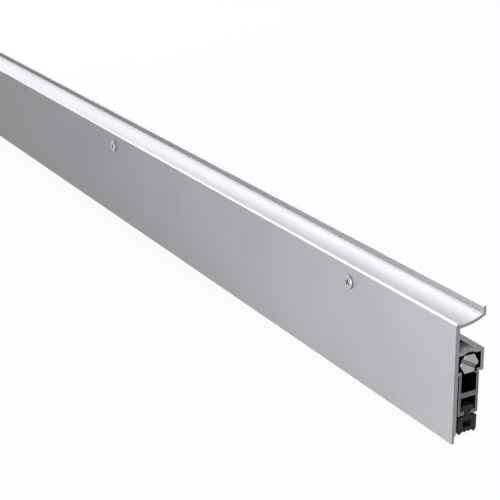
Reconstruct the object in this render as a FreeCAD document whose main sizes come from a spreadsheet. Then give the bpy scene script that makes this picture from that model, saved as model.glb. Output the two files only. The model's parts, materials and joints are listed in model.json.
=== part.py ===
import FreeCAD, Part
import math
import operator
import os
import types

import Sketcher

# Automatic door bottom seal that is screwed to the face of a door.
# X runs along the door towards the plunger, +Y points into the door, +Z is up.
# The origin is on the door's face, at mid length and at the height of the plunger.

# Driving dimensions in millimetres
SIZES = {
    # Extruded housing
    "length": 762.0,
    "depth": 16.7,
    "plate_height": 60.0,
    "plate_wall": 2.2,
    "bead_reach": 1.3,
    "bead_rise": 0.7,
    "drip_height": 3.8,
    "drip_wall": 1.4,
    "upstand_rise": 6.9,
    "upstand_wall": 1.45,
    "upstand_bevel": 0.9,
    "tray_rise": 2.95,
    "tray_wall": 1.6,
    "roof_start": 3.9,
    "roof_drop": 10.5,
    "roof_wall": 2.9,
    "rear_wall": 1.8,
    "axis_drop": 20.7,
    "chamber_head": 5.05,
    "ceiling_wall": 1.75,
    "groove_rise": 1.05,
    "lip_drop": 3.25,
    "lip_wall": 1.55,
    "lip_length": 2.0,
    "edge_radius": 0.4,
    # Screws that fix the housing to the door
    "screw_margin": 87.0,
    "screw_drop": 8.4,
    "screw_length": 32.0,
    "screw_head_radius": 3.8,
    "screw_head_height": 1.3,
    "screw_shank_radius": 2.4,
    "screw_thread_radius": 2.1,
    "screw_point_length": 3.0,
    "screw_hole_gap": 0.15,
    "cross_length": 4.4,
    "cross_width": 1.0,
    "cross_depth": 1.0,
    # Drop bar
    "bar_gap": 0.55,
    "bar_width": 11.5,
    "bar_wall": 1.5,
    "bar_height": 20.35,
    "web_drop": 8.75,
    "web_wall": 2.7,
    "flange_wall": 1.9,
    "flange_length": 2.2,
    # Rubber seal
    "seal_head_width": 6.5,
    "seal_head_height": 2.6,
    "seal_stem_width": 3.0,
    "seal_body_gap": 0.85,
    "seal_body_width": 10.8,
    "seal_body_height": 7.75,
    "seal_shoulder": 0.8,
    "seal_side_drop": 7.5,
    "seal_hollow_width": 4.7,
    "seal_hollow_height": 3.25,
    "seal_hollow_drop": 2.5,
    "outer_tooth_offset": 4.38,
    "outer_tooth_length": 1.35,
    "inner_tooth_offset": 1.23,
    "inner_tooth_length": 0.65,
    "notch_offset": 2.34,
    # Blocks in the chamber
    "block_gap": 0.1,
    "slide_gap": 0.25,
    "neck_gap": 0.35,
    "neck_drop": 5.0,
    "slider_neck_drop": 6.4,
    "bush_inset": 29.0,
    "bush_length": 16.0,
    "anchor_length": 16.0,
    "slider_length": 18.0,
    "guide_length": 14.0,
    "guide_offset": 40.0,
    # Push rod, threaded sleeve and adjusting screw
    "running_gap": 0.05,
    "rod_radius": 2.0,
    "rod_overhang": 2.0,
    "sleeve_inset": 19.0,
    "sleeve_radius": 4.0,
    "sleeve_length": 34.0,
    "rod_socket": 10.0,
    "screw_socket": 20.0,
    "hex_flats": 9.1,
    "hex_length": 8.0,
    "hex_chamfer": 0.4,
    "slot_width": 2.0,
    "slot_depth": 1.8,
    "adjuster_radius": 2.5,
    "adjuster_length": 26.0,
    "plunger_guide_length": 4.0,
    "clip_gap": 0.1,
    "clip_radius": 4.3,
    "clip_wall": 0.8,
    # Leaf springs
    "leaf_margin": 153.0,
    "leaf_width": 6.0,
    "leaf_thick": 0.5,
    "leaf_half_span": 62.0,
    "leaf_seat_length": 12.0,
    "leaf_free_end": 2.0,
    "leaf_lap": 10.0,
    "leaf_slot_gap": 0.1,
    "saddle_height": 2.0,
    "saddle_length": 20.0,
    "saddle_side_gap": 0.15,
    "saddle_chamfer": 0.8,
    # Rivets, pins and set screws
    "rivet_radius": 1.0,
    "rivet_head_radius": 1.7,
    "rivet_head_height": 0.6,
    "rivet_grip": 2.2,
    "set_screw_radius": 1.5,
    "pin_radius": 1.25,
    "pin_bite": 3.0,
}
SCREW_COUNT = 3
SLOT_TURN = -30.0
HEX_SIDES_ROOT = math.sqrt(3.0)
OPERATIONS = {
    "+": operator.add,
    "-": operator.sub,
    "*": operator.mul,
    "/": operator.truediv,
}

doc = FreeCAD.newDocument("door_bottom_seal")
sheet = doc.addObject("Spreadsheet::Sheet", "Sizes")
parts = []


class Size:
    """A number together with the sheet expression that gives it."""

    def __init__(self, value, text):
        self.value = value
        self.text = text

    def __add__(self, other):
        return combine(self, "+", other)

    def __radd__(self, other):
        return combine(other, "+", self)

    def __sub__(self, other):
        return combine(self, "-", other)

    def __rsub__(self, other):
        return combine(other, "-", self)

    def __mul__(self, other):
        return combine(self, "*", other)

    def __rmul__(self, other):
        return combine(other, "*", self)

    def __truediv__(self, other):
        return combine(self, "/", other)

    def __neg__(self):
        return combine(0.0, "-", self)


def as_size(value):
    return value if isinstance(value, Size) else Size(float(value), repr(float(value)))


def combine(first, sign, second):
    a = as_size(first)
    b = as_size(second)
    return Size(OPERATIONS[sign](a.value, b.value), "(%s %s %s)" % (a.text, sign, b.text))


def root(size):
    return Size(math.sqrt(size.value), "sqrt(%s)" % size.text)


def fill_sheet():
    """Writes each driving dimension to a named cell and returns them as sizes."""
    sizes = {}
    for row, (name, value) in enumerate(SIZES.items(), start=1):
        cell = "A%d" % row
        sheet.set(cell, repr(value))
        sheet.setAlias(cell, name)
        sizes[name] = Size(value, "Sizes." + name)
    doc.recompute()
    return types.SimpleNamespace(**sizes)


def bind(target, prop, value):
    target.setExpression(prop, as_size(value).text)


# Sketches and features


def new_body(label):
    body = doc.addObject("PartDesign::Body", label)
    body.Label = label
    body.AllowCompound = True
    parts.append(body)
    return body


def origin_feature(body, role):
    return next(f for f in body.Origin.OriginFeatures if f.Role == role)


def new_sketch(body, plane, at, turn=0.0):
    """A sketch on an origin plane, shifted by three sizes in the plane's own axes."""
    sketch = body.newObject("Sketcher::SketchObject", body.Label + "_sketch")
    sketch.AttachmentSupport = [(origin_feature(body, plane), "")]
    sketch.MapMode = "FlatFace"
    spin = FreeCAD.Rotation(FreeCAD.Vector(0, 0, 1), turn)
    shift = FreeCAD.Vector(*[as_size(v).value for v in at])
    sketch.AttachmentOffset = FreeCAD.Placement(shift, spin)
    for axis, value in zip("xyz", at):
        bind(sketch, "AttachmentOffset.Base." + axis, value)
    return sketch


def constrain(sketch, kind, geometry, point, size):
    """Ties a point's distance from the sketch origin to a size."""
    rule = Sketcher.Constraint(kind, -1, 1, geometry, point, size.value)
    bind(sketch, "Constraints[%d]" % sketch.addConstraint(rule), size)


def arc_between(start, end, radius, left):
    """The short arc from start to end that turns left or right."""
    chord = end - start
    middle = (start + end) / 2
    rise = math.sqrt(max(radius**2 - (chord.Length / 2) ** 2, 0.0))
    normal = FreeCAD.Vector(-chord.y, chord.x, 0) / chord.Length
    centre = middle + normal * (rise if left else -rise)
    first, last = (start, end) if left else (end, start)
    a = math.atan2(first.y - centre.y, first.x - centre.x)
    b = math.atan2(last.y - centre.y, last.x - centre.x)
    if b < a:
        b += 2 * math.pi
    return Part.ArcOfCircle(Part.Circle(centre, FreeCAD.Vector(0, 0, 1), radius), a, b)


def draw_loop(sketch, corners):
    """Draws a closed loop; a corner is two sizes, then an arc radius and its turn if an arc starts there."""
    points = [FreeCAD.Vector(as_size(c[0]).value, as_size(c[1]).value, 0) for c in corners]
    ends = []
    for i, corner in enumerate(corners):
        start = points[i]
        end = points[(i + 1) % len(points)]
        if len(corner) == 2:
            index = sketch.addGeometry(Part.LineSegment(start, end))
            ends.append((index, 1, 2))
            continue
        left = corner[3] == "left"
        radius = as_size(corner[2])
        index = sketch.addGeometry(arc_between(start, end, radius.value, left))
        rule = Sketcher.Constraint("Radius", index, radius.value)
        bind(sketch, "Constraints[%d]" % sketch.addConstraint(rule), radius)
        ends.append((index, 1, 2) if left else (index, 2, 1))
    for i, (index, first, last) in enumerate(ends):
        following, following_first, _ = ends[(i + 1) % len(ends)]
        sketch.addConstraint(
            Sketcher.Constraint("Coincident", index, last, following, following_first)
        )
    for corner, (index, first, _) in zip(corners, ends):
        constrain(sketch, "DistanceX", index, first, as_size(corner[0]))
        constrain(sketch, "DistanceY", index, first, as_size(corner[1]))


def draw_circle(sketch, x, y, radius):
    centre = FreeCAD.Vector(as_size(x).value, as_size(y).value, 0)
    radius = as_size(radius)
    circle = Part.Circle(centre, FreeCAD.Vector(0, 0, 1), radius.value)
    index = sketch.addGeometry(circle)
    constrain(sketch, "DistanceX", index, 3, as_size(x))
    constrain(sketch, "DistanceY", index, 3, as_size(y))
    rule = Sketcher.Constraint("Radius", index, radius.value)
    bind(sketch, "Constraints[%d]" % sketch.addConstraint(rule), radius)


def mirrored(half):
    """A loop that is symmetric about the sketch's upright axis, from its right half."""
    return half + [(-x, y) for x, y in reversed(half)]


def pad(body, sketch, length, symmetric=False, backwards=False):
    feature = body.newObject("PartDesign::Pad", body.Label + "_pad")
    feature.Profile = sketch
    bind(feature, "Length", length)
    feature.SideType = "Symmetric" if symmetric else "One side"
    feature.Reversed = backwards
    doc.recompute()
    return feature


def pocket(body, sketch, depth=None, symmetric=False, backwards=False):
    """Cuts the sketch out of the body, right through where no depth is given."""
    before = body.Shape.Volume
    feature = body.newObject("PartDesign::Pocket", body.Label + "_pocket")
    feature.Profile = sketch
    feature.SideType = "Symmetric" if symmetric else "One side"
    feature.Reversed = backwards
    if depth is None:
        feature.Type = "ThroughAll"
    else:
        bind(feature, "Length", depth)
    doc.recompute()
    if body.Shape.Volume >= before:
        raise RuntimeError("a cut in %s removed nothing" % body.Label)
    return feature


def lathe(body, sketch, axis):
    """Turns the sketch about its own H_Axis or V_Axis."""
    feature = body.newObject("PartDesign::Revolution", body.Label + "_turn")
    feature.Profile = sketch
    feature.ReferenceAxis = (sketch, [axis])
    feature.Angle = 360
    doc.recompute()
    return feature


def row_along_x(body, features, reach, count):
    """Repeats features along X, the last copy at reach from the first."""
    pattern = body.newObject("PartDesign::LinearPattern", body.Label + "_row")
    pattern.Originals = features
    pattern.Direction = (origin_feature(body, "X_Axis"), [""])
    bind(pattern, "Length", as_size(reach))
    pattern.Occurrences = count
    body.Tip = pattern
    doc.recompute()
    return pattern


dim = fill_sheet()

# Levels above the plunger axis, and places across the depth
plate_top = dim.axis_drop
lip_top = -dim.lip_drop
lip_bottom = lip_top - dim.lip_wall
chamber_width = dim.depth - dim.plate_wall - dim.rear_wall
mid_y = -dim.rear_wall - chamber_width / 2
mid_depth = dim.plate_wall + chamber_width / 2
lip_opening = chamber_width - dim.lip_length * 2
bar_top = lip_bottom - dim.bar_gap
web_top = bar_top - dim.web_drop
web_bottom = web_top - dim.web_wall
bar_bottom = bar_top - dim.bar_height
flange_top = bar_bottom + dim.flange_wall
near_end = dim.length / 2
first_screw = dim.screw_margin - near_end
screw_reach = dim.length - dim.screw_margin * 2
screw_level = plate_top - dim.screw_drop
pin_length = dim.rear_wall + dim.block_gap + dim.pin_bite

# Housing section: depths from the plate's front, heights from the plate's top
tray_foot = dim.depth - dim.upstand_wall
tray_span = tray_foot - dim.plate_wall
tray_radius = (tray_span * tray_span + dim.tray_rise * dim.tray_rise) / (dim.tray_rise * 2)
under_span = dim.depth - dim.plate_wall
under_radius = tray_radius + dim.tray_wall
under_end = tray_radius - root(under_radius * under_radius - under_span * under_span)
eave = -(dim.roof_start + dim.roof_drop)
lip_low = lip_bottom - plate_top

# Places along the length
hex_back = near_end - dim.hex_length
plunger_guide_front = hex_back - dim.clip_gap
clip_front = plunger_guide_front - dim.plunger_guide_length - dim.clip_gap
sleeve_front = near_end - dim.sleeve_inset
sleeve_back = sleeve_front - dim.sleeve_length
bush_front = near_end - dim.bush_inset
leaf_reach = dim.leaf_seat_length / 2 + dim.leaf_half_span
face_reach = leaf_reach + dim.leaf_free_end
LEAVES = {"near": near_end - dim.leaf_margin, "far": dim.leaf_margin - near_end}

# Leaf spring levels: the strip lies under the anchor and on the saddle
leaf_level = -dim.neck_drop - dim.leaf_thick / 2
leaf_seat = web_top + dim.saddle_height + dim.leaf_thick / 2
leaf_sag = leaf_level - leaf_seat


def housing_outline():
    """Outside of the extrusion, from the plate's top edge round by the door side, in depth and height."""
    d = dim
    groove_radius = d.chamber_head + d.groove_rise
    half_groove = root(groove_radius * groove_radius - d.chamber_head * d.chamber_head)
    ceiling = d.chamber_head - plate_top
    rear_inside = d.depth - d.rear_wall
    left_lip = d.plate_wall + d.lip_length
    right_lip = rear_inside - d.lip_length
    lip_high = lip_top - plate_top
    drip_top = d.drip_height - d.plate_height
    return [
        (0, 0),
        (d.bead_reach, d.bead_rise),
        (d.plate_wall, 0, tray_radius, "left"),
        (tray_foot, d.tray_rise),
        (tray_foot, d.upstand_rise - d.upstand_bevel),
        (d.depth, d.upstand_rise),
        (d.depth, under_end, under_radius, "right"),
        (d.plate_wall, -d.tray_wall),
        (d.plate_wall, -d.roof_start),
        (d.depth, eave),
        (d.depth, lip_low),
        (right_lip, lip_low),
        (right_lip, lip_high),
        (rear_inside, lip_high),
        (rear_inside, ceiling),
        (mid_depth + half_groove, ceiling, groove_radius, "left"),
        (mid_depth - half_groove, ceiling),
        (d.plate_wall, ceiling),
        (d.plate_wall, lip_high),
        (left_lip, lip_high),
        (left_lip, lip_low),
        (d.plate_wall, lip_low),
        (d.plate_wall, drip_top),
        (d.drip_wall, drip_top),
        (d.drip_wall, -d.plate_height),
        (0, -d.plate_height),
    ]


def hollow_outline():
    """Triangular hollow between the sloping roof and the chamber's ceiling."""
    d = dim
    slope = d.roof_drop / (d.depth - d.plate_wall)
    roof_inside = d.roof_start + d.roof_wall
    hump_radius = d.chamber_head + d.groove_rise + d.ceiling_wall
    floor_rise = d.chamber_head + d.ceiling_wall
    hump_top = plate_top - hump_radius
    half_hump = root(hump_radius * hump_radius - floor_rise * floor_rise)
    floor = floor_rise - plate_top
    return [
        (d.plate_wall, -roof_inside),
        (d.plate_wall + (hump_top - roof_inside) / slope, -hump_top),
        (mid_depth, -hump_top, hump_radius, "left"),
        (mid_depth - half_hump, floor),
        (d.plate_wall, floor),
    ]


def pin_place(centre):
    """Middle of the anchor block of the leaf spring at this centre, along X."""
    return centre - face_reach - dim.anchor_length / 2


def drill_for_pin(body, centre):
    hole = new_sketch(body, "XZ_Plane", (pin_place(centre), 0, 0))
    draw_circle(hole, 0, 0, dim.pin_radius + dim.running_gap)
    pocket(body, hole, pin_length + dim.running_gap, backwards=True)


def round_long_edges(body, base, places):
    """Rounds the housing edges that run along X at the given depths and heights."""
    names = []
    for depth, height in places:
        y = depth.value - dim.depth.value
        z = height.value + plate_top.value
        for i, edge in enumerate(base.Shape.Edges):
            offsets = [math.hypot(v.Y - y, v.Z - z) for v in edge.Vertexes]
            if edge.BoundBox.XLength > near_end.value and max(offsets) < dim.running_gap.value:
                names.append("Edge%d" % (i + 1))
    fillet = body.newObject("PartDesign::Fillet", body.Label + "_rounding")
    fillet.Base = (base, names)
    bind(fillet, "Radius", dim.edge_radius)
    doc.recompute()


def make_housing():
    body = new_body("housing_profile")
    section = new_sketch(body, "YZ_Plane", (-dim.depth, plate_top, 0))
    draw_loop(section, housing_outline())
    draw_loop(section, hollow_outline())
    extruded = pad(body, section, dim.length, symmetric=True)
    round_long_edges(
        body,
        extruded,
        [
            (dim.plate_wall, -dim.tray_wall),
            (dim.depth, eave),
        ],
    )
    holes = new_sketch(body, "XZ_Plane", (first_screw, screw_level, dim.depth))
    draw_circle(holes, 0, 0, dim.screw_shank_radius + dim.screw_hole_gap)
    drilled = pocket(body, holes)
    row_along_x(body, [drilled], screw_reach, SCREW_COUNT)
    for centre in LEAVES.values():
        drill_for_pin(body, centre)


def make_fixing_screws():
    body = new_body("fixing_screws")
    d = dim
    half = new_sketch(body, "XY_Plane", (first_screw, -d.depth, screw_level))
    tip = d.screw_length - d.screw_point_length
    draw_loop(
        half,
        [
            (0, -d.screw_head_height),
            (d.screw_head_radius, -d.screw_head_height),
            (d.screw_head_radius, 0),
            (d.screw_shank_radius, 0),
            (d.screw_shank_radius, d.depth),
            (d.screw_thread_radius, d.depth),
            (d.screw_thread_radius, tip),
            (0, d.screw_length),
        ],
    )
    turned = lathe(body, half, "V_Axis")
    cross = new_sketch(body, "XZ_Plane", (first_screw, screw_level, d.depth + d.screw_head_height))
    reach = d.cross_length / 2
    arm = d.cross_width / 2
    draw_loop(
        cross,
        [
            (reach, -arm),
            (reach, arm),
            (arm, arm),
            (arm, reach),
            (-arm, reach),
            (-arm, arm),
            (-reach, arm),
            (-reach, -arm),
            (-arm, -arm),
            (-arm, -reach),
            (arm, -reach),
            (arm, -arm),
        ],
    )
    recess = pocket(body, cross, d.cross_depth)
    row_along_x(body, [turned, recess], screw_reach, SCREW_COUNT)


def block_outline(gap, bottom):
    """T section that fills the chamber above the lips, with a neck that hangs between them."""
    side = chamber_width / 2 - gap
    top = dim.chamber_head - gap
    shoulder = lip_top + gap
    neck = lip_opening / 2 - dim.neck_gap
    return mirrored([(side, top), (side, shoulder), (neck, shoulder), (neck, bottom)][::-1])


def make_block(label, front, length, gap, bottom, bore):
    """A block in the chamber, from its end nearest the plunger, bored on the plunger axis."""
    body = new_body(label)
    section = new_sketch(body, "YZ_Plane", (mid_y, 0, front))
    draw_loop(section, block_outline(gap, bottom))
    draw_circle(section, 0, 0, bore)
    pad(body, section, length, backwards=True)
    return body


def drill_up(body, x, level, radius, depth):
    """A round hole from the given level upwards, on the middle plane."""
    hole = new_sketch(body, "XY_Plane", (x, mid_y, level))
    draw_circle(hole, 0, 0, radius)
    pocket(body, hole, depth, backwards=True)


def make_fixed_blocks():
    rod_bore = dim.rod_radius + dim.running_gap
    sleeve_bore = dim.sleeve_radius + dim.running_gap
    bottom = -dim.neck_drop
    make_block("plunger_bush", bush_front, dim.bush_length, dim.block_gap, bottom, sleeve_bore)
    guide_front = dim.guide_offset + dim.guide_length / 2
    make_block("rod_guide", guide_front, dim.guide_length, dim.block_gap, bottom, rod_bore)
    for end, centre in LEAVES.items():
        face = centre - face_reach
        anchor = make_block(
            "anchor_block_" + end, face, dim.anchor_length, dim.block_gap, bottom, rod_bore
        )
        drill_for_pin(anchor, centre)
        rivet_hole = dim.rivet_radius + dim.running_gap
        drill_up(anchor, face - dim.leaf_lap / 2, bottom, rivet_hole, dim.rivet_grip + dim.running_gap)


def make_anchor_pins():
    """Pins that hold the anchor blocks to the rear wall, flush with the door's face."""
    body = new_body("anchor_pins")
    for centre in LEAVES.values():
        base = new_sketch(body, "XZ_Plane", (pin_place(centre), 0, 0))
        draw_circle(base, 0, 0, dim.pin_radius)
        pad(body, base, pin_length)


def make_sliders():
    """Blocks fixed on the rod; a blind slot in each neck takes the free end of a leaf spring."""
    rod_bore = dim.rod_radius + dim.running_gap
    slot_half = dim.leaf_thick / 2 + dim.leaf_slot_gap
    slot_side = dim.leaf_width / 2 + dim.leaf_slot_gap
    for end, centre in LEAVES.items():
        face = centre + face_reach
        slider = make_block(
            "slider_" + end,
            face + dim.slider_length,
            dim.slider_length,
            dim.slide_gap,
            -dim.slider_neck_drop,
            rod_bore,
        )
        slot = new_sketch(slider, "YZ_Plane", (mid_y, leaf_level, face))
        draw_loop(
            slot,
            mirrored([(slot_side, -slot_half), (slot_side, slot_half)]),
        )
        pocket(slider, slot, dim.leaf_lap, backwards=True)
        drill_up(
            slider,
            set_screw_place(centre),
            -dim.slider_neck_drop,
            dim.set_screw_radius + dim.running_gap,
            dim.slider_neck_drop,
        )


def set_screw_place(centre):
    return centre + face_reach + (dim.leaf_lap + dim.slider_length) / 2


def make_set_screws():
    body = new_body("slider_set_screws")
    top = -(dim.rod_radius + dim.running_gap)
    for centre in LEAVES.values():
        base = new_sketch(body, "XY_Plane", (set_screw_place(centre), mid_y, -dim.slider_neck_drop))
        draw_circle(base, 0, 0, dim.set_screw_radius)
        pad(body, base, top + dim.slider_neck_drop)


def make_push_rod():
    body = new_body("push_rod")
    start = LEAVES["far"] + face_reach - dim.rod_overhang
    section = new_sketch(body, "YZ_Plane", (mid_y, 0, start))
    draw_circle(section, 0, 0, dim.rod_radius)
    pad(body, section, sleeve_back + dim.rod_socket - start)


def make_sleeve():
    body = new_body("rod_sleeve")
    d = dim
    rod_bore = d.rod_radius + d.running_gap
    screw_bore = d.adjuster_radius + d.running_gap
    half = new_sketch(body, "XY_Plane", (sleeve_back, mid_y, 0))
    draw_loop(
        half,
        [
            (0, rod_bore),
            (0, d.sleeve_radius),
            (d.sleeve_length, d.sleeve_radius),
            (d.sleeve_length, screw_bore),
            (d.sleeve_length - d.screw_socket, screw_bore),
            (d.sleeve_length - d.screw_socket, 0),
            (d.rod_socket, 0),
            (d.rod_socket, rod_bore),
        ],
    )
    lathe(body, half, "H_Axis")


def make_plunger_guide():
    make_block(
        "plunger_guide",
        plunger_guide_front,
        dim.plunger_guide_length,
        dim.slide_gap,
        -dim.neck_drop,
        dim.adjuster_radius + dim.running_gap,
    )


def make_adjusting_screw():
    body = new_body("adjusting_screw")
    d = dim
    corner = d.hex_flats / HEX_SIDES_ROOT
    flat = d.hex_flats / 2
    end = new_sketch(body, "YZ_Plane", (mid_y, 0, near_end))
    draw_loop(
        end,
        [
            (corner, 0),
            (corner / 2, flat),
            (-corner / 2, flat),
            (-corner, 0),
            (-corner / 2, -flat),
            (corner / 2, -flat),
        ],
    )
    head = pad(body, end, d.hex_length, backwards=True)
    rim = body.newObject("PartDesign::Chamfer", "adjusting_screw_rim")
    front = near_end.value
    names = [
        "Edge%d" % (i + 1)
        for i, edge in enumerate(head.Shape.Edges)
        if edge.BoundBox.XMin > front - d.hex_chamfer.value
    ]
    rim.Base = (head, names)
    bind(rim, "Size", d.hex_chamfer)
    doc.recompute()
    shank = new_sketch(body, "YZ_Plane", (mid_y, 0, hex_back))
    draw_circle(shank, 0, 0, d.adjuster_radius)
    pad(body, shank, d.adjuster_length, backwards=True)
    slot = new_sketch(body, "YZ_Plane", (mid_y, 0, near_end), SLOT_TURN)
    slot_end = d.hex_flats
    draw_loop(slot, mirrored([(slot_end, -d.slot_width / 2), (slot_end, d.slot_width / 2)]))
    pocket(body, slot, d.slot_depth)


def make_retaining_clip():
    body = new_body("retaining_clip")
    ring = new_sketch(body, "YZ_Plane", (mid_y, 0, clip_front))
    draw_circle(ring, 0, 0, dim.clip_radius)
    draw_circle(ring, 0, 0, dim.adjuster_radius + dim.running_gap)
    pad(body, ring, dim.clip_wall, backwards=True)


def make_drop_bar():
    body = new_body("drop_bar")
    side = dim.bar_width / 2
    inside = side - dim.bar_wall
    flange_end = inside - dim.flange_length
    section = new_sketch(body, "YZ_Plane", (mid_y, 0, 0))
    half = [
        (flange_end, flange_top),
        (flange_end, bar_bottom),
        (side, bar_bottom),
        (side, bar_top),
        (inside, bar_top),
        (inside, web_top),
    ]
    lower = [(inside, web_bottom), (inside, flange_top)]
    left = [(-x, y) for x, y in reversed(lower + half)]
    draw_loop(section, lower + half + left)
    pad(body, section, dim.length, symmetric=True)
    for centre in LEAVES.values():
        drill_up(body, centre, web_bottom, dim.rivet_radius + dim.running_gap, dim.web_wall)


def make_seal_strip():
    body = new_body("seal_strip")
    d = dim
    head = d.seal_head_width / 2
    stem = d.seal_stem_width / 2
    side = d.seal_body_width / 2
    head_top = flange_top + d.seal_head_height
    body_top = bar_bottom - d.seal_body_gap
    notch = body_top - d.seal_body_height
    half = [
        (d.inner_tooth_offset, notch - d.inner_tooth_length),
        (d.notch_offset, notch),
        (d.outer_tooth_offset, notch - d.outer_tooth_length),
        (side, body_top - d.seal_side_drop),
        (side, body_top - d.seal_shoulder),
        (side - d.seal_shoulder, body_top),
        (stem, body_top),
        (stem, flange_top),
        (head, flange_top),
        (head, head_top),
    ]
    section = new_sketch(body, "YZ_Plane", (mid_y, 0, 0))
    draw_loop(section, [(as_size(0.0), notch)] + mirrored(half))
    hollow_top = body_top - d.seal_hollow_drop
    hollow_side = d.seal_hollow_width / 2
    hollow_half = [(hollow_side, hollow_top - d.seal_hollow_height), (hollow_side, hollow_top)]
    draw_loop(section, mirrored(hollow_half))
    pad(body, section, d.length, symmetric=True)


def leaf_outline():
    """Side view of a bowed strip: flat ends, two pairs of tangent arcs and a flat seat in the middle."""
    d = dim
    seat = d.leaf_seat_length / 2
    reach = leaf_reach
    tip = face_reach + d.leaf_lap
    t = d.leaf_thick / 2
    bend = (d.leaf_half_span * d.leaf_half_span + leaf_sag * leaf_sag) / (leaf_sag * 4)
    lean = d.leaf_half_span / 2 / bend * t
    lift = t - leaf_sag / 2 / bend * t
    turn_x = reach - d.leaf_half_span / 2
    turn_z = -leaf_sag / 2
    wide = bend + t
    tight = bend - t
    return [
        (-tip, t),
        (-reach, t, wide, "right"),
        (lean - turn_x, turn_z + lift, tight, "left"),
        (-seat, t - leaf_sag),
        (seat, t - leaf_sag, tight, "left"),
        (turn_x - lean, turn_z + lift, wide, "right"),
        (reach, t),
        (tip, t),
        (tip, -t),
        (reach, -t, tight, "left"),
        (turn_x + lean, turn_z - lift, wide, "right"),
        (seat, -t - leaf_sag),
        (-seat, -t - leaf_sag, wide, "right"),
        (-turn_x - lean, turn_z - lift, tight, "left"),
        (-reach, -t),
        (-tip, -t),
    ]


def make_leaf_springs():
    for end, centre in LEAVES.items():
        body = new_body("leaf_spring_" + end)
        side = new_sketch(body, "XZ_Plane", (centre, leaf_level, -mid_y))
        draw_loop(side, leaf_outline())
        pad(body, side, dim.leaf_width, symmetric=True)
        hole = dim.rivet_radius + dim.running_gap
        lap_rivet = centre - face_reach - dim.leaf_lap / 2
        drill_up(body, lap_rivet, leaf_level - dim.leaf_thick / 2, hole, dim.leaf_thick)
        drill_up(body, centre, leaf_seat - dim.leaf_thick / 2, hole, dim.leaf_thick)


def make_saddles():
    """Blocks on the bar's web that carry the middle of each leaf spring."""
    reach = dim.saddle_length / 2
    low = dim.saddle_height - dim.saddle_chamfer
    width = dim.bar_width - dim.bar_wall * 2 - dim.saddle_side_gap * 2
    for end, centre in LEAVES.items():
        body = new_body("saddle_" + end)
        side = new_sketch(body, "XZ_Plane", (centre, web_top, -mid_y))
        half = [
            (reach, as_size(0.0)),
            (reach, low),
            (reach - dim.saddle_chamfer, dim.saddle_height),
        ]
        draw_loop(side, mirrored(half))
        pad(body, side, width, symmetric=True)
        drill_up(body, centre, web_top, dim.rivet_radius + dim.running_gap, dim.saddle_height)


def make_anchor_rivets():
    body = new_body("anchor_rivets")
    low = leaf_level - dim.leaf_thick / 2
    for centre in LEAVES.values():
        place = centre - face_reach - dim.leaf_lap / 2
        half = new_sketch(body, "XZ_Plane", (place, low, -mid_y))
        draw_loop(
            half,
            [
                (0, -dim.rivet_head_height),
                (dim.rivet_head_radius, -dim.rivet_head_height),
                (dim.rivet_head_radius, 0),
                (dim.rivet_radius, 0),
                (dim.rivet_radius, dim.leaf_thick + dim.rivet_grip),
                (0, dim.leaf_thick + dim.rivet_grip),
            ],
        )
        lathe(body, half, "V_Axis")


def make_saddle_rivets():
    body = new_body("saddle_rivets")
    top = dim.web_wall + dim.saddle_height + dim.leaf_thick
    head = dim.rivet_head_height
    for centre in LEAVES.values():
        half = new_sketch(body, "XZ_Plane", (centre, web_bottom, -mid_y))
        draw_loop(
            half,
            [
                (0, 0),
                (dim.rivet_radius, 0),
                (dim.rivet_radius, top),
                (dim.rivet_head_radius, top),
                (dim.rivet_head_radius, top + head),
                (0, top + head),
            ],
        )
        lathe(body, half, "V_Axis")


def write_parts():
    """Checks every object, then writes one STEP file for each sub-part."""
    doc.recompute()
    for item in doc.Objects:
        if "Invalid" in item.State or "Error" in item.State:
            raise RuntimeError("%s is %s" % (item.Name, item.State))
    for body in parts:
        if body.Shape.isNull() or not body.Shape.isValid():
            raise RuntimeError("%s has no valid shape" % body.Label)
    os.makedirs("parts", exist_ok=True)
    for body in parts:
        body.Shape.exportStep("parts/%s.step" % body.Label)
        print("%-20s %d solid(s) %10.1f mm3" % (body.Label, len(body.Shape.Solids), body.Shape.Volume))


make_housing()
make_fixing_screws()
make_fixed_blocks()
make_anchor_pins()
make_anchor_rivets()
make_push_rod()
make_sleeve()
make_sliders()
make_set_screws()
make_plunger_guide()
make_adjusting_screw()
make_retaining_clip()
make_drop_bar()
make_seal_strip()
make_saddles()
make_saddle_rivets()
make_leaf_springs()
write_parts()
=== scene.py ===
import json
import math

import bpy
from mathutils import Matrix, Vector


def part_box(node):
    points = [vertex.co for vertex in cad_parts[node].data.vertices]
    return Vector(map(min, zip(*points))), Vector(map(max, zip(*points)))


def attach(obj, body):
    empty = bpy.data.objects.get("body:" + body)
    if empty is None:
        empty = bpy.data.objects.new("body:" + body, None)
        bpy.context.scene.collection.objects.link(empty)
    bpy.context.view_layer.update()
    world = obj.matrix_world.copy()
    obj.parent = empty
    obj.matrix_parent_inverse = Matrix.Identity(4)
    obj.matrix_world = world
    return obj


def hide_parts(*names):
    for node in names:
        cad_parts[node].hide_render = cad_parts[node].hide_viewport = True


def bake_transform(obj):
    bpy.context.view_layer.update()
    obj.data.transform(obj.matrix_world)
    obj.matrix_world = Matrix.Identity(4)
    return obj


# Automatic door bottom seal on a pale floor, in metres.
# X runs along the door towards the plunger, +Y points into the door, +Z is up.

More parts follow.
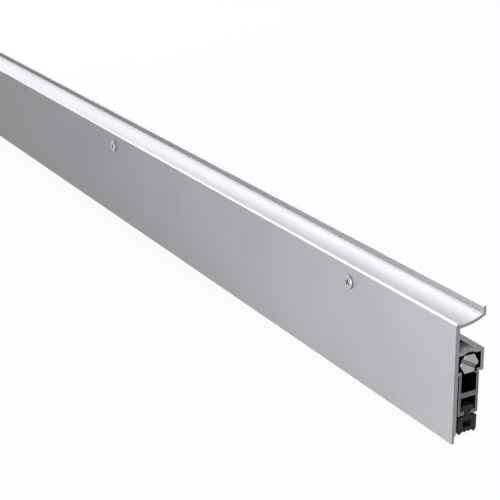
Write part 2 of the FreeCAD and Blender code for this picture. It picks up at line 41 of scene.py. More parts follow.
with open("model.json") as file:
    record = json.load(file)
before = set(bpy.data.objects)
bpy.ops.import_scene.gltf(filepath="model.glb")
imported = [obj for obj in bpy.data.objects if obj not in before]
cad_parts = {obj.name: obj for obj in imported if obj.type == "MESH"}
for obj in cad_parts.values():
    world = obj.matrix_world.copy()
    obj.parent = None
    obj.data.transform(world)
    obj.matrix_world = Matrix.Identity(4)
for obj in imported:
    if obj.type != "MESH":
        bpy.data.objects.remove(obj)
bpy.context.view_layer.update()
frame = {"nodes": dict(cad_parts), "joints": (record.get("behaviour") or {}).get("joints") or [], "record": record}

MM = 0.001
BODY_OF = {node: body for body, nodes in frame["record"]["behaviour"]["bodies"].items() for node in nodes}
JOINTS = {joint["name"]: joint for joint in frame["joints"]}

# Places taken from the frame
housing_low, housing_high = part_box("housing_profile")
bar_low, bar_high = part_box("drop_bar")
seal_low, seal_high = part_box("seal_strip")
screws_low, screws_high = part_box("fixing_screws")
adjuster_low, adjuster_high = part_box("adjusting_screw")
mid_y = (bar_low.y + bar_high.y) / 2
bar_drop = JOINTS["bar_drop"]["range_m"][1]
rod_travel = JOINTS["rod_push"]["range_m"][1]

# Housing extrusion
PLATE_WALL = 2.2 * MM
PLATE_ABOVE_BAR = 26.05 * MM
REAR_WALL = 1.8 * MM
ROOF_SLOPE = 10.5 / 14.5
ROOF_START = 3.9 * MM
ROOF_WALL = 2.9 * MM
GROOVE_TOP = 6.1 * MM
LIP_WALL = 1.55 * MM
LIP_ABOVE_BAR = 2.1 * MM

# Bar extrusion and seal; the bar's foot and rim are left out of the painted shade
BAR_WALL = 1.5 * MM
BAR_FOOT = 1.0 * MM
BAR_RIM = 0.3 * MM
SEAL_HOLLOW_WIDTH = 4.7 * MM
SEAL_HOLLOW_HEIGHT = 3.25 * MM
SEAL_HOLLOW_BELOW_BAR = 3.35 * MM

# Painted shade: how far it reaches in from the ends, its thin skin on the seal's tongue, and the spare past a wall
SHADE_FROM_END = 3.0 * MM
TONGUE_SHADE_SKIN = 0.01 * MM
SPARE = 0.05 * MM

# Fixing screws
SCREW_COUNT = 3
HEAD_SIDES = 48
HEAD_RADIUS = 3.8 * MM
HEAD_HEIGHT = 1.3 * MM
HEAD_CROWN = 0.45 * MM
CROWN_STEPS = 4
SHANK_RADIUS = 2.4 * MM
NECK_LENGTH = 0.4 * MM
CORE_RADIUS = 1.5 * MM
CREST_RADIUS = 2.1 * MM
SCREW_PITCH = 1.8 * MM
SCREW_THREAD_START = 0.8 * MM
SCREW_THREAD_STEPS = 20
POINT_LENGTH = 3.0 * MM
POINT_SHARE = 0.05
THREAD_POINT_SHARE = 0.1
CROSS_LENGTH = 5.0 * MM
CROSS_WIDTH = 1.15 * MM
CROSS_DEPTH = 1.4 * MM
CROSS_TURN = math.radians(24.0)
CROSS_FLOOR_LENGTH_SHARE = 0.6
CROSS_FLOOR_WIDTH_SHARE = 0.75

# Adjusting screw
HEX_LENGTH = 8.0 * MM
HEX_ACROSS = 9.1 * MM
HEX_RIM = 0.25 * MM
HEX_EDGE = 0.08 * MM
SLOT_WIDTH = 2.0 * MM
SLOT_DEPTH = 0.7 * MM
SLOT_TURN = math.radians(-30.0)
SLOT_FLOOR_SPARE = 0.02 * MM
ADJUSTER_SIDES = 32
ADJUSTER_RADIUS = 2.5 * MM
ADJUSTER_CORE = 2.1 * MM
ADJUSTER_PITCH = 0.8 * MM
ADJUSTER_THREAD_STEPS = 16
ADJUSTER_LAP = 1.0 * MM
ADJUSTER_EDGE = 0.4 * MM

# Thread ridges: half the base as a share of the pitch, and how deep the base sits in the core
RIDGE_SHARE = 0.42
RIDGE_SINK = 0.1 * MM

# Leaf springs
LEAF_THICK = 0.5 * MM
LEAF_SEAT = 12.0 * MM
LEAF_SPAN = 62.0 * MM
LEAF_STEPS = 60
LEAF_ROWS = 4
LEAF_EDGE = 0.1 * MM
LEAF_CLEARANCE = 0.3 * MM

# Broken edges: the steps across one, and the widths on pieces that keep the frame's shape
EDGE_STEPS = 2
EXTRUSION_EDGE = 0.12 * MM
RUBBER_EDGE = 0.1 * MM
BUSH_EDGE = 0.25 * MM
BLOCK_EDGE = 0.2 * MM
ROD_EDGE = 0.3 * MM
CLIP_EDGE = 0.12 * MM
PIN_EDGE = 0.15 * MM

# Mesh limits: doubles, flat faces, edges to break or shade, and how much of a face's normal lies
# along an axis when the face looks along it, looks across it or is a flank of the hexagon
WELD = 0.001 * MM
FLAT_ANGLE = math.radians(1.0)
SHARP_ANGLE = math.radians(25.0)
SMOOTH_ANGLE = math.radians(24.0)
LOOKS_ALONG = 0.9
LOOKS_ACROSS = 0.5
FLANK_LIMIT = 0.3

# Sizes of the patterns in the finishes; lines and grains are coarser than real ones, so that they show
DIE_LINE_WIDTH = 0.5 * MM
DIE_LINE_LENGTH = 300 * MM
ANODISED_CLOUD = 40 * MM
SAW_GRAIN = 0.4 * MM
PLATING_CLOUD = 3 * MM
PLATING_GRAIN = 0.3 * MM
TURNED_CLOUD = 2 * MM
ROLLED_LINE_WIDTH = 0.4 * MM
ROLLED_LINE_LENGTH = 30 * MM
MOULD_GRAIN = 0.35 * MM
RUBBER_LINE_WIDTH = 0.5 * MM
RUBBER_LINE_LENGTH = 60 * MM
RUBBER_BLOOM = 6 * MM

# Spacing of the cutter's marks: real feeds, too fine to show one by one
BRASS_CUT = 0.063 * MM
STEEL_CUT = 0.0785 * MM
SLOT_CUT = 0.126 * MM

# Length after which a wave texture of scale 1 repeats
WAVE_REPEAT = math.pi / 10

# Depths of the relief in the finishes
FINE_RELIEF = 0.01 * MM
MOULD_RELIEF = 0.02 * MM
RUBBER_RELIEF = 0.03 * MM

# Where most of a noise lies, the share of the die lines in the satin's tone, and that tone's range
NOISE_LOW = 0.3
NOISE_HIGH = 0.7
DIE_LINE_SHARE = 0.7
SATIN_LOW = 0.6
SATIN_HIGH = 1.1

# How far a face turns to X before it counts as a sawn end
END_LOW = 0.75
END_HIGH = 0.9

# Share of the anodised skin that mirrors as metal, what a sawn end adds to its roughness, and how
# strongly the end's scratches show
SATIN_METAL = 0.42
SAWN_DULLNESS = 0.12
SAWN_SCRATCH = 0.35

# Floor
FLOOR_SIZE = 20.0
FLOOR_GAP = 1.0 * MM
FLOOR_WHITE = 0.93

# World light: its strength in front, and the directions along Y between which it rises to full
FRONT_LIGHT = 0.04
FRONT_LIMIT = -0.1
BACK_LIMIT = 0.5

# Lamps and camera
LEFT_SOFTBOX = {
    "place": Vector((-1.08, 0.1, 0.95)),
    "aim": Vector((0.15, 0.04, 0.0)),
    "width": 0.92,
    "height": 1.8,
    "radiance": 5.3,
}
KEY_SOFTBOX = {
    "place": Vector((0.66, -0.45, 0.12)),
    "aim": Vector((0.3, 0.0, 0.0)),
    "width": 0.5,
    "height": 0.5,
    "radiance": 6.8,
}
CAMERA_PLACE = Vector((803.4, -354.9, 259.6)) * MM
CAMERA_AIM = Vector((-0.81938, 0.45253, -0.35191))
CAMERA_ROLL = math.radians(-1.074)
CAMERA_LENS = 93.72
CAMERA_SENSOR = 36.0
CAMERA_NEAR = 0.01
CAMERA_FAR = 100.0


# Selecting and shaping


def pick(piece):
    """Selects one object alone and makes it the active one."""
    bpy.ops.object.select_all(action="DESELECT")
    piece.select_set(True)
    bpy.context.view_layer.objects.active = piece


def edit(piece):
    pick(piece)
    bpy.ops.object.mode_set(mode="EDIT")


def leave_edit():
    bpy.ops.object.mode_set(mode="OBJECT")


def apply_modifier(piece, kind, **settings):
    pick(piece)
    modifier = piece.modifiers.new(kind.lower(), kind)
    for name, value in settings.items():
        setattr(modifier, name, value)
    bpy.ops.object.modifier_apply(modifier=modifier.name)


def break_edges(piece, width):
    apply_modifier(
        piece,
        "BEVEL",
        width=width,
        segments=EDGE_STEPS,
        limit_method="ANGLE",
        angle_limit=SHARP_ANGLE,
    )


def smooth(piece):
    """Smooth shading that leaves the flat faces flat."""
    pick(piece)
    bpy.ops.object.shade_smooth_by_angle(angle=SMOOTH_ANGLE)
    apply_modifier(piece, "WEIGHTED_NORMAL", keep_sharp=True)


def place_in_mesh(piece):
    """Puts the object's place, turn and scale into its mesh."""
    pick(piece)
    bpy.ops.object.transform_apply(location=True, rotation=True, scale=True)


def join(pieces, name):
    bpy.ops.object.select_all(action="DESELECT")
    for piece in pieces:
        piece.select_set(True)
    bpy.context.view_layer.objects.active = pieces[0]
    bpy.ops.object.join()
    pieces[0].name = name
    return pieces[0]


def cut_away(piece, cutter):
    apply_modifier(piece, "BOOLEAN", object=cutter, operation="DIFFERENCE", solver="EXACT")
    bpy.data.objects.remove(cutter)


def select_faces(piece, wanted):
    """Selects the faces for which wanted is true, with the piece in object mode."""
    for part in (piece.data.vertices, piece.data.edges, piece.data.polygons):
        part.foreach_set("select", [False] * len(part))
    for face in piece.data.polygons:
        face.select = wanted(face)


def paint(piece, material):
    piece.data.materials.clear()
    piece.data.materials.append(material)


def stand_for(piece, node):
    """Lets a piece take the place of a frame node, on its body."""
    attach(piece, BODY_OF[node])
    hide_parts(node)


def copy_of(node, name):
    """A welded copy of a frame node, with flat faces whole again."""
    piece = bpy.data.objects.new(name, frame["nodes"][node].data.copy())
    bpy.context.scene.collection.objects.link(piece)
    pick(piece)
    bpy.ops.mesh.customdata_custom_splitnormals_clear()
    edit(piece)
    bpy.ops.mesh.select_all(action="SELECT")
    bpy.ops.mesh.remove_doubles(threshold=WELD)
    bpy.ops.mesh.dissolve_limited(angle_limit=FLAT_ANGLE)
    leave_edit()
    return piece


# Colours and materials


def linear(hex_colour):
    """Linear RGBA from an sRGB hex value."""
    parts = [int(hex_colour[i : i + 2], 16) / 255 for i in (1, 3, 5)]
    curve = [c / 12.92 if c <= 0.04045 else ((c + 0.055) / 1.055) ** 2.4 for c in parts]
    return (*curve, 1.0)


def add_node(tree, kind, inputs=None, **settings):
    """Adds a node with its settings and links. An input is a value, a node or one of its outputs.
    Inputs 6 and 7 of a colour mix are its two colours."""
    node = tree.nodes.new(kind)
    for name, value in settings.items():
        setattr(node, name, value)
    for key, value in (inputs or {}).items():
        if isinstance(value, bpy.types.Node):
            value = next(output for output in value.outputs if output.enabled)
        if isinstance(value, bpy.types.NodeSocket):
            tree.links.new(value, node.inputs[key])
        else:
            node.inputs[key].default_value = value
    return node


def new_tree(name):
    material = bpy.data.materials.new(name)
    material.use_nodes = True
    material.node_tree.nodes.clear()
    return material, material.node_tree


def streaks(tree, place, width, length):
    """Noise drawn out along X into lines."""
    stretched = add_node(
        tree, "ShaderNodeMapping", {"Vector": place, "Scale": (1 / length, 1 / width, 1 / width)}
    )
    return add_node(tree, "ShaderNodeTexNoise", {"Vector": stretched, "Scale": 1.0, "Detail": 3.0})


def box_between(low_y, high_y, low_z, high_z, low_x=housing_low.x, high_x=housing_high.x):
    """Middle and half size of a hollow, with a little to spare past its walls."""
    low = Vector((low_x, low_y, low_z))
    high = Vector((high_x, high_y, high_z))
    return (low + high) / 2, (high - low) / 2 + Vector((SPARE, SPARE, SPARE))


def inside_of(tree, place, hollows):
    """One inside any of the hollows, each a box given by its middle and half size."""
    inside = 0.0
    for middle, half in hollows:
        offset = add_node(tree, "ShaderNodeVectorMath", {0: place, 1: middle}, operation="SUBTRACT")
        away = add_node(tree, "ShaderNodeVectorMath", {0: offset}, operation="ABSOLUTE")
        axes = add_node(tree, "ShaderNodeSeparateXYZ", {0: away})
        within = 1.0
        for axis, reach in zip("XYZ", half):
            near = add_node(
                tree, "ShaderNodeMath", {0: axes.outputs[axis], 1: reach}, operation="LESS_THAN"
            )
            within = add_node(tree, "ShaderNodeMath", {0: within, 1: near}, operation="MULTIPLY")
        inside = add_node(tree, "ShaderNodeMath", {0: inside, 1: within}, operation="MAXIMUM")
    return inside


def under_roof(tree, place):
    """One in the empty hollow between the sloping roof and the chamber's ceiling."""
    plate_back = housing_low.y + PLATE_WALL
    plate_top = bar_high.z + PLATE_ABOVE_BAR
    roof_middle = plate_top - ROOF_START - ROOF_WALL / 2 + ROOF_SLOPE * plate_back
    axes = add_node(tree, "ShaderNodeSeparateXYZ", {0: place})
    height = add_node(
        tree, "ShaderNodeVectorMath", {0: place, 1: (0.0, ROOF_SLOPE, 1.0)}, operation="DOT_PRODUCT"
    )
    limits = [
        (height, "LESS_THAN", roof_middle),
        (axes.outputs["Z"], "GREATER_THAN", GROOVE_TOP + 2 * SPARE),
        (axes.outputs["Y"], "GREATER_THAN", plate_back - SPARE),
        (axes.outputs["Y"], "LESS_THAN", housing_high.y - REAR_WALL / 2),
    ]
    within = 1.0
    for value, test, limit in limits:
        kept = add_node(tree, "ShaderNodeMath", {0: value, 1: limit}, operation=test)
        within = add_node(tree, "ShaderNodeMath", {0: within, 1: kept}, operation="MULTIPLY")
    return within


def extruded_aluminium(name, light, dark, cut, hollows):
    """Natural anodised aluminium: satin, with fine die lines along its length and duller sawn ends, whose darker
    colour is painted shade. The hollows are painted near black as painted shade, so they stay black when seen from
    an end; the one under the roof is painted a light grey as painted light. The die lines are drawn wider than
    real ones, so that they show."""
    material, tree = new_tree(name)
    source = add_node(tree, "ShaderNodeTexCoord")
    place = source.outputs["Object"]
    lines = streaks(tree, place, DIE_LINE_WIDTH, DIE_LINE_LENGTH)
    clouds = add_node(
        tree, "ShaderNodeTexNoise", {"Vector": place, "Scale": 1 / ANODISED_CLOUD, "Detail": 2.0}
    )
    mixed = add_node(
        tree, "ShaderNodeMath", {0: lines, 1: DIE_LINE_SHARE, 2: clouds}, operation="MULTIPLY_ADD"
    )
    tone = add_node(
        tree, "ShaderNodeMapRange", {"Value": mixed, "From Min": SATIN_LOW, "From Max": SATIN_HIGH}
    )
    satin = add_node(
        tree, "ShaderNodeMix", {0: tone, 6: linear(dark), 7: linear(light)}, data_type="RGBA"
    )

    facing = add_node(tree, "ShaderNodeSeparateXYZ", {0: source.outputs["Normal"]})
    turned = add_node(tree, "ShaderNodeMath", {0: facing.outputs["X"]}, operation="ABSOLUTE")
    end = add_node(
        tree, "ShaderNodeMapRange", {"Value": turned, "From Min": END_LOW, "From Max": END_HIGH}
    )
    side = add_node(tree, "ShaderNodeMath", {0: 1.0, 1: end}, operation="SUBTRACT")
    grain = add_node(
        tree, "ShaderNodeTexNoise", {"Vector": place, "Scale": 1 / SAW_GRAIN, "Detail": 2.0}
    )
    scratches = add_node(
        tree,
        "ShaderNodeMapRange",
        {"Value": grain, "From Min": NOISE_LOW, "From Max": NOISE_HIGH, "To Max": SAWN_SCRATCH},
    )
    # The sawn ends' darker colour is painted shade; their added roughness and scratches are the real finish
    sawn = add_node(
        tree, "ShaderNodeMix", {0: scratches, 6: linear(cut), 7: linear(dark)}, data_type="RGBA"
    )
    metal = add_node(tree, "ShaderNodeMix", {0: end, 6: satin, 7: sawn}, data_type="RGBA")

    # Painted light: the hollow under the roof is painted light grey and not metal, standing for light that reaches
    # into it
    painted_light = add_node(
        tree, "ShaderNodeMath", {0: under_roof(tree, place), 1: side}, operation="MULTIPLY"
    )
    # Painted shade: the chamber, the bar's channels and the gaps near the ends are painted near black
    painted_shade = add_node(
        tree, "ShaderNodeMath", {0: inside_of(tree, place, hollows), 1: side}, operation="MULTIPLY"
    )
    painted_light_or_shade = add_node(tree, "ShaderNodeMath", {0: painted_shade, 1: painted_light}, operation="MAXIMUM")
    # The light grey #98999B is painted light
    pale = add_node(
        tree, "ShaderNodeMix", {0: painted_light, 6: metal, 7: linear("#98999B")}, data_type="RGBA"
    )
    # The near black #060606 is painted shade
    colour = add_node(
        tree, "ShaderNodeMix", {0: painted_shade, 6: pale, 7: linear("#060606")}, data_type="RGBA"
    )
    metallic = add_node(
        tree, "ShaderNodeMath", {0: painted_light_or_shade, 1: -SATIN_METAL, 2: SATIN_METAL}, operation="MULTIPLY_ADD"
    )

    gloss = add_node(
        tree,
        "ShaderNodeMapRange",
        {"Value": lines, "From Min": NOISE_LOW, "From Max": NOISE_HIGH, "To Min": 0.36, "To Max": 0.46},
    )
    rough = add_node(
        tree, "ShaderNodeMath", {0: end, 1: SAWN_DULLNESS, 2: gloss}, operation="MULTIPLY_ADD"
    )
    relief = add_node(
        tree, "ShaderNodeBump", {"Strength": 0.15, "Distance": FINE_RELIEF, "Height": lines}
    )
    round_x = add_node(tree, "ShaderNodeTangent", direction_type="RADIAL", axis="X")
    shader = add_node(
        tree,
        "ShaderNodeBsdfPrincipled",
        {
            "Base Color": colour,
            "Metallic": metallic,
            "Roughness": rough,
            "Specular IOR Level": 0.05,
            "Anisotropic": 0.5,
            "Specular Tint": linear("#787878"),
            "Normal": relief,
            "Tangent": round_x,
        },
    )
    add_node(tree, "ShaderNodeOutputMaterial", {"Surface": shader})
    return material


def unpolished_metal(name, light, dark, smoothest, roughest):
    """Metal as plated or cold formed, without polish: slightly cloudy, with a grain in its gloss."""
    material, tree = new_tree(name)
    place = add_node(tree, "ShaderNodeTexCoord").outputs["Object"]
    clouds = add_node(
        tree, "ShaderNodeTexNoise", {"Vector": place, "Scale": 1 / PLATING_CLOUD, "Detail": 2.0}
    )
    colour = add_node(
        tree, "ShaderNodeMix", {0: clouds, 6: linear(dark), 7: linear(light)}, data_type="RGBA"
    )
    grain = add_node(
        tree, "ShaderNodeTexNoise", {"Vector": place, "Scale": 1 / PLATING_GRAIN, "Detail": 2.0}
    )
    gloss = add_node(
        tree,
        "ShaderNodeMapRange",
        {
            "Value": grain,
            "From Min": NOISE_LOW,
            "From Max": NOISE_HIGH,
            "To Min": smoothest,
            "To Max": roughest,
        },
    )
    shader = add_node(
        tree,
        "ShaderNodeBsdfPrincipled",
        {"Base Color": colour, "Metallic": 1.0, "Roughness": gloss},
    )
    add_node(tree, "ShaderNodeOutputMaterial", {"Surface": shader})
    return material


def turned_metal(name, light, dark, smoothest, roughest, ring):
    """Metal cut on a lathe about X: slightly cloudy, with fine rings on its ends that soften its gloss."""
    material, tree = new_tree(name)
    place = add_node(tree, "ShaderNodeTexCoord").outputs["Object"]
    centred = add_node(tree, "ShaderNodeMapping", {"Vector": place, "Location": (0.0, -mid_y, 0.0)})
    rings = add_node(
        tree,
        "ShaderNodeTexWave",
        {
            "Vector": centred,
            "Scale": WAVE_REPEAT / ring,
            "Distortion": 1.5,
            "Detail": 2.0,
            "Detail Scale": 2.0,
        },
        wave_type="RINGS",
        rings_direction="X",
    ).outputs["Fac"]
    clouds = add_node(
        tree, "ShaderNodeTexNoise", {"Vector": place, "Scale": 1 / TURNED_CLOUD, "Detail": 2.0}
    )
    colour = add_node(
        tree, "ShaderNodeMix", {0: clouds, 6: linear(dark), 7: linear(light)}, data_type="RGBA"
    )
    gloss = add_node(
        tree, "ShaderNodeMapRange", {"Value": rings, "To Min": smoothest, "To Max": roughest}
    )
    relief = add_node(
        tree, "ShaderNodeBump", {"Strength": 0.1, "Distance": FINE_RELIEF, "Height": rings}
    )
    shader = add_node(
        tree,
        "ShaderNodeBsdfPrincipled",
        {"Base Color": colour, "Metallic": 1.0, "Roughness": gloss, "Normal": relief},
    )
    add_node(tree, "ShaderNodeOutputMaterial", {"Surface": shader})
    return material


def spring_steel():
    """Blued spring steel strip: dark, with rolling grain along its length."""
    material, tree = new_tree("blued_spring_steel")
    place = add_node(tree, "ShaderNodeTexCoord").outputs["Object"]
    grain = streaks(tree, place, ROLLED_LINE_WIDTH, ROLLED_LINE_LENGTH)
    colour = add_node(
        tree, "ShaderNodeMix", {0: grain, 6: linear("#43474F"), 7: linear("#6C717A")}, data_type="RGBA"
    )
    gloss = add_node(
        tree,
        "ShaderNodeMapRange",
        {"Value": grain, "From Min": NOISE_LOW, "From Max": NOISE_HIGH, "To Min": 0.26, "To Max": 0.4},
    )
    shader = add_node(
        tree,
        "ShaderNodeBsdfPrincipled",
        {"Base Color": colour, "Metallic": 1.0, "Roughness": gloss},
    )
    add_node(tree, "ShaderNodeOutputMaterial", {"Surface": shader})
    return material


def moulded_nylon():
    """Black nylon from a mould: near black, with a fine matt grain."""
    material, tree = new_tree("black_moulded_nylon")
    place = add_node(tree, "ShaderNodeTexCoord").outputs["Object"]
    grain = add_node(
        tree, "ShaderNodeTexNoise", {"Vector": place, "Scale": 1 / MOULD_GRAIN, "Detail": 2.0}
    )
    colour = add_node(
        tree, "ShaderNodeMix", {0: grain, 6: linear("#0D0D0E"), 7: linear("#161617")}, data_type="RGBA"
    )
    gloss = add_node(
        tree,
        "ShaderNodeMapRange",
        {"Value": grain, "From Min": NOISE_LOW, "From Max": NOISE_HIGH, "To Min": 0.45, "To Max": 0.6},
    )
    relief = add_node(
        tree, "ShaderNodeBump", {"Strength": 0.2, "Distance": MOULD_RELIEF, "Height": grain}
    )
    shader = add_node(
        tree,
        "ShaderNodeBsdfPrincipled",
        {"Base Color": colour, "Roughness": gloss, "IOR": 1.53, "Normal": relief},
    )
    add_node(tree, "ShaderNodeOutputMaterial", {"Surface": shader})
    return material


def extruded_rubber(hollows):
    """Black rubber from a die: charcoal, matt, with faint lines along its length and a little bloom.
    It is painted near black in its hollow and on the top of its tongue, as painted shade. The lines are drawn
    wider than real ones, so that they show."""
    material, tree = new_tree("black_extruded_rubber")
    place = add_node(tree, "ShaderNodeTexCoord").outputs["Object"]
    lines = streaks(tree, place, RUBBER_LINE_WIDTH, RUBBER_LINE_LENGTH)
    bloom = add_node(
        tree, "ShaderNodeTexNoise", {"Vector": place, "Scale": 1 / RUBBER_BLOOM, "Detail": 2.0}
    )
    mixed = add_node(tree, "ShaderNodeMath", {0: lines, 1: bloom}, operation="MULTIPLY")
    tone = add_node(tree, "ShaderNodeMapRange", {"Value": mixed, "From Min": 0.1, "From Max": 0.4})
    skin = add_node(
        tree, "ShaderNodeMix", {0: tone, 6: linear("#0A0A0B"), 7: linear("#101011")}, data_type="RGBA"
    )
    # Painted shade: the seal's hollow and the top of its tongue are painted near black (#020202)
    hollow = inside_of(tree, place, hollows)
    colour = add_node(
        tree, "ShaderNodeMix", {0: hollow, 6: skin, 7: linear("#020202")}, data_type="RGBA"
    )
    gloss = add_node(
        tree,
        "ShaderNodeMapRange",
        {"Value": lines, "From Min": NOISE_LOW, "From Max": NOISE_HIGH, "To Min": 0.6, "To Max": 0.75},
    )
    relief = add_node(
        tree, "ShaderNodeBump", {"Strength": 0.2, "Distance": RUBBER_RELIEF, "Height": lines}
    )
    shader = add_node(
        tree,
        "ShaderNodeBsdfPrincipled",
        {"Base Color": colour, "Roughness": gloss, "IOR": 1.36, "Normal": relief},
    )
    add_node(tree, "ShaderNodeOutputMaterial", {"Surface": shader})
    return material


# Hollows and gaps painted black, as painted shade
lip_bottom = bar_high.z + LIP_ABOVE_BAR - LIP_WALL
seal_hollow_top = bar_low.z - SEAL_HOLLOW_BELOW_BAR
chamber = box_between(
    housing_low.y + PLATE_WALL, housing_high.y - REAR_WALL, lip_bottom, GROOVE_TOP
)
bar_channels = box_between(
    bar_low.y + BAR_WALL, bar_high.y - BAR_WALL, bar_low.z + BAR_FOOT, bar_high.z - BAR_RIM
)
gap_sides = (housing_low.y + PLATE_WALL, bar_low.y, bar_low.z, lip_bottom)
gap_ends = [
    box_between(*gap_sides, housing_high.x - SHADE_FROM_END, housing_high.x),
    box_between(*gap_sides, housing_low.x, housing_low.x + SHADE_FROM_END),
]
seal_hollow = box_between(
    mid_y - SEAL_HOLLOW_WIDTH / 2,
    mid_y + SEAL_HOLLOW_WIDTH / 2,
    seal_hollow_top - SEAL_HOLLOW_HEIGHT,
    seal_hollow_top,
)
tongue_top_shade = box_between(
    bar_low.y + BAR_WALL, bar_high.y - BAR_WALL, seal_high.z - TONGUE_SHADE_SKIN, seal_high.z
)

# The two extrusions: pale satin, with the bar a little darker and its ends much darker; the darker colour of the
# sawn ends is painted shade
housing_finish = extruded_aluminium(
    "anodised_aluminium_housing", "#B0B1B4", "#ABACAF", "#757678", [chamber, *gap_ends]
)
bar_finish = extruded_aluminium(
    "anodised_aluminium_bar", "#ABACAF", "#A5A6A9", "#4B4C4E", [bar_channels, *gap_ends]
)

# Zinc plating: pale on the screws, clip and pins, and rougher on the rims of the screw heads, where it is also
# painted darker as painted shade
zinc = unpolished_metal("zinc_plated_steel", "#BCBEBF", "#B0B2B4", 0.33, 0.45)
dull_zinc_painted_shade = unpolished_metal("dull_zinc_rim_painted_shade", "#8E9092", "#808284", 0.55, 0.67)

# Steel of the rod and the adjusting screw: bright where turned, painted near black on the hexagon's flanks as
# painted shade, and painted darker grey in the slot as painted shade; the slot's saw marks are drawn as rings too
bright_steel = turned_metal("turned_zinc_plated_steel", "#AAACAE", "#9B9DA0", 0.5, 0.6, STEEL_CUT)
slot_floor_steel_painted_shade = turned_metal("slot_steel_painted_shade", "#77787A", "#6A6B6D", 0.56, 0.66, SLOT_CUT)
flank_steel_painted_shade = unpolished_metal("steel_flank_painted_shade", "#242425", "#1A1A1B", 0.55, 0.67)

# Brass sleeve, warm and shiny, and pale aluminium rivets
brass = turned_metal("turned_brass", "#CFAE66", "#B8954F", 0.24, 0.34, BRASS_CUT)
rivet_metal = unpolished_metal("cold_headed_aluminium", "#C4C6C9", "#AEB0B3", 0.31, 0.43)

blued_spring = spring_steel()
nylon = moulded_nylon()
rubber = extruded_rubber([seal_hollow, tongue_top_shade])


# Pieces that keep the frame's shape, with their edges broken


def finish_frame_pieces():
    bushes = ["plunger_guide", "plunger_bush", "rod_guide", "anchor_block_near", "anchor_block_far"]
    blocks = ["slider_near", "slider_far", "saddle_near", "saddle_far"]
    groups = [
        (["housing_profile"], housing_finish, EXTRUSION_EDGE),
        (["drop_bar"], bar_finish, EXTRUSION_EDGE),
        (["seal_strip"], rubber, RUBBER_EDGE),
        (bushes, nylon, BUSH_EDGE),
        (blocks, nylon, BLOCK_EDGE),
        (["rod_sleeve"], brass, BUSH_EDGE),
        (["push_rod"], bright_steel, ROD_EDGE),
        (["retaining_clip"], zinc, CLIP_EDGE),
        (["slider_set_screws"], zinc, BLOCK_EDGE),
        (["anchor_pins"], zinc, PIN_EDGE),
        (["anchor_rivets", "saddle_rivets"], rivet_metal, BLOCK_EDGE),
    ]
    for nodes, material, edge in groups:
        for node in nodes:
            piece = copy_of(node, node + "_finished")
            break_edges(piece, edge)
            smooth(piece)
            paint(piece, material)
            stand_for(piece, node)


# Threads


def thread_ridge(name, axis, start, length, pitch, core, crest, steps):
    """A closed ridge wound round an axis that runs along X or Y from start."""
    along = Vector((1, 0, 0)) if axis == "X" else Vector((0, 1, 0))
    half = pitch * RIDGE_SHARE
    root = core - RIDGE_SINK
    bpy.ops.object.select_all(action="DESELECT")
    bpy.ops.mesh.primitive_circle_add(vertices=3, radius=pitch, fill_type="NOTHING")
    ridge = bpy.context.object
    ridge.name = name
    corners = [(-half, root), (0.0, crest), (half, root)]
    for vertex, (shift, radius) in zip(ridge.data.vertices, corners):
        vertex.co = along * shift + Vector((0, 0, radius))
    apply_modifier(
        ridge,
        "SCREW",
        axis=axis,
        angle=math.tau,
        screw_offset=pitch,
        iterations=round(length / pitch),
        steps=steps,
        render_steps=steps,
        use_merge_vertices=True,
        merge_threshold=WELD,
    )
    edit(ridge)
    bpy.ops.mesh.select_all(action="DESELECT")
    bpy.ops.mesh.select_non_manifold()
    bpy.ops.mesh.edge_face_add()
    bpy.ops.mesh.select_all(action="SELECT")
    bpy.ops.mesh.normals_make_consistent(inside=False)
    leave_edit()
    ridge.location = start
    place_in_mesh(ridge)
    return ridge


# Fixing screws


def draw_out(distance, scale=None, middle=None):
    """Extrudes what is selected along Y, then scales the new end about the middle."""
    bpy.ops.mesh.extrude_region_move(TRANSFORM_OT_translate={"value": (0, distance, 0)})
    if scale is not None:
        bpy.ops.transform.resize(value=(scale, 1, scale), center_override=middle)


def cross_cutter(head_front, turn):
    """A tapered bar that cuts one arm of the cross recess."""
    bpy.ops.object.select_all(action="DESELECT")
    bpy.ops.mesh.primitive_cube_add(size=1.0)
    cutter = bpy.context.object
    cutter.dimensions = (CROSS_LENGTH, 2 * CROSS_DEPTH, CROSS_WIDTH)
    place_in_mesh(cutter)
    for vertex in cutter.data.vertices:
        if vertex.co.y > 0:
            vertex.co.x *= CROSS_FLOOR_LENGTH_SHARE
            vertex.co.z *= CROSS_FLOOR_WIDTH_SHARE
    cutter.rotation_euler = (0, turn, 0)
    cutter.location = head_front
    place_in_mesh(cutter)
    return cutter


def screw_thread(name, x, level):
    """The wood thread, from just past the door's face to the point, where it tapers off."""
    length = screws_high.y - POINT_LENGTH / 2 - SCREW_THREAD_START
    ridge = thread_ridge(
        name,
        "Y",
        (x, SCREW_THREAD_START, level),
        length,
        SCREW_PITCH,
        CORE_RADIUS,
        CREST_RADIUS,
        SCREW_THREAD_STEPS,
    )
    taper_from = screws_high.y - POINT_LENGTH
    for vertex in ridge.data.vertices:
        past = max(0.0, vertex.co.y - taper_from) / POINT_LENGTH
        keep = max(THREAD_POINT_SHARE, 1.0 - past)
        vertex.co.x = x + (vertex.co.x - x) * keep
        vertex.co.z = level + (vertex.co.z - level) * keep
        vertex.co.y = min(vertex.co.y, screws_high.y)
    paint(ridge, zinc)
    return ridge


